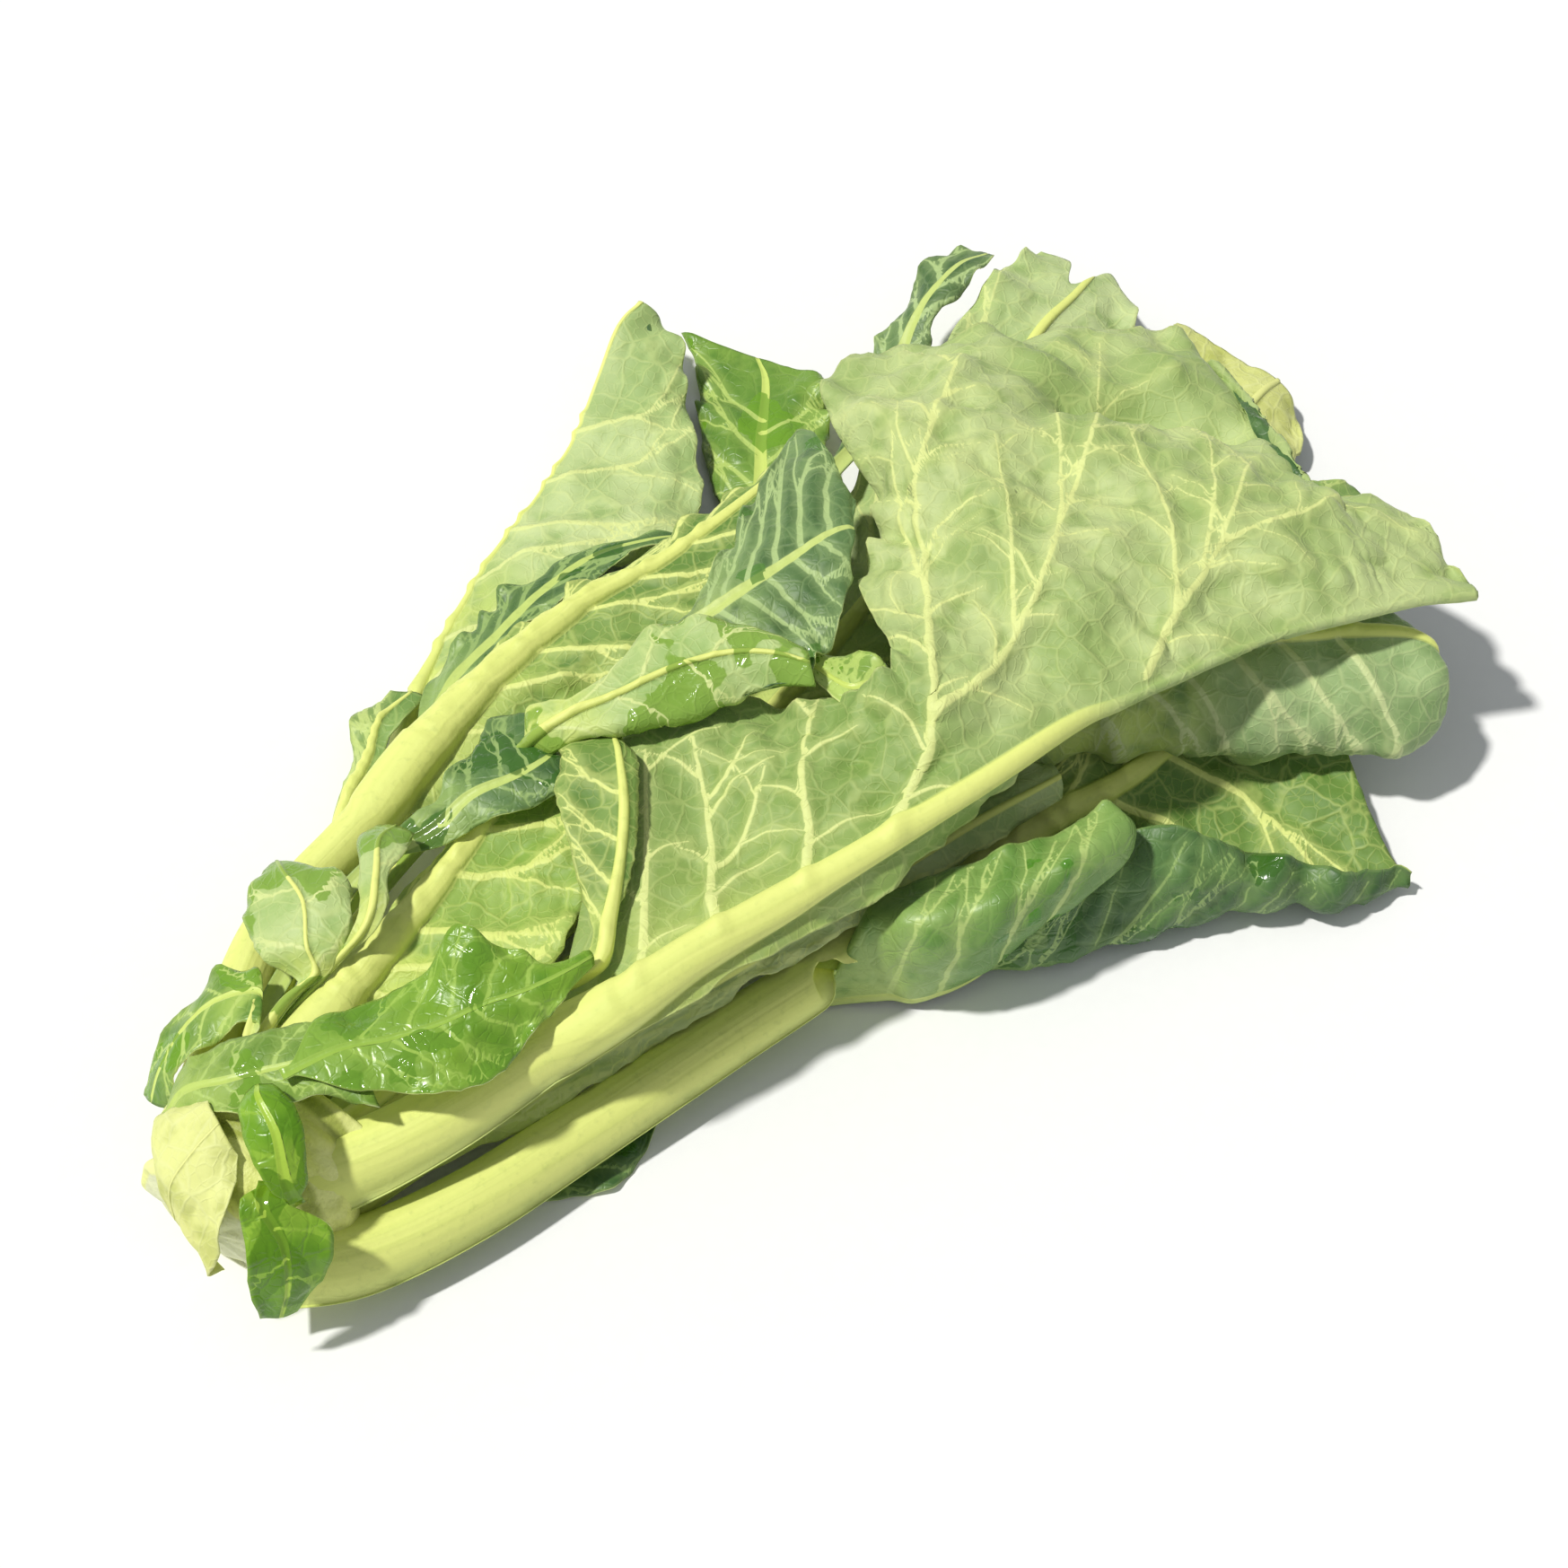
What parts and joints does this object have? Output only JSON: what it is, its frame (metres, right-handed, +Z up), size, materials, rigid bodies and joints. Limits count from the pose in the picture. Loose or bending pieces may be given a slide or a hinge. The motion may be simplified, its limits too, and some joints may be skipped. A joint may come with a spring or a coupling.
{
  "type": "spring greens",
  "caption": "Head of spring greens lying on its side: cut stump, long pale stalks and large crumpled leaves folded over each other.",
  "frame": {"origin": "middle of the head's outline in plan, on the surface it lies on", "axes": "+X along the head from the cut stump to the leaf tips, +Y to the far side, +Z up"},
  "size_m": [0.3892, 0.2684, 0.0638],
  "materials": {
    "stalk": "smooth, satin, pale yellow green",
    "pale_underside": "matte, waxy bloom, raised pale veins",
    "fresh_green_upper": "glossy, wet in patches, sunken pale veins",
    "dark_green_upper": "semi-gloss, blue green, sunken pale veins",
    "yellow_leaf": "matte, yellowing",
    "cut_stump": "moist cut tissue, satin"
  },
  "bodies": {
    "root": {"leaf_front": "stalk", "leaf_hero": "pale_underside", "leaf_left": "stalk", "leaf_centre": "pale_underside", "leaf_upper_left": "pale_underside", "leaf_grey_roll": "pale_underside", "leaf_rolled": "dark_green_upper", "leaf_top_lobed": "pale_underside", "leaf_top_yellow": "yellow_leaf", "leaf_flag": "dark_green_upper", "leaf_fold": "pale_underside", "leaf_strip": "pale_underside", "leaf_dark_inner": "dark_green_upper", "leaf_band": "dark_green_upper", "leaf_back_green": "fresh_green_upper", "leaf_top_curl": "fresh_green_upper", "leaf_peek_right": "fresh_green_upper", "leaf_inner": "pale_underside", "leaf_small_inner": "fresh_green_upper", "leaf_peek_left": "fresh_green_upper", "leaf_under": "dark_green_upper", "leaf_small_pale": "pale_underside", "leaf_small_upright": "pale_underside", "leaf_base_curl": "fresh_green_upper", "leaf_base_wide": "fresh_green_upper", "leaf_glossy": "fresh_green_upper", "sprout_top": "fresh_green_upper", "sprout_low": "fresh_green_upper", "sheath_scale": "yellow_leaf", "stump": "cut_stump"}
  },
  "joints": []
}
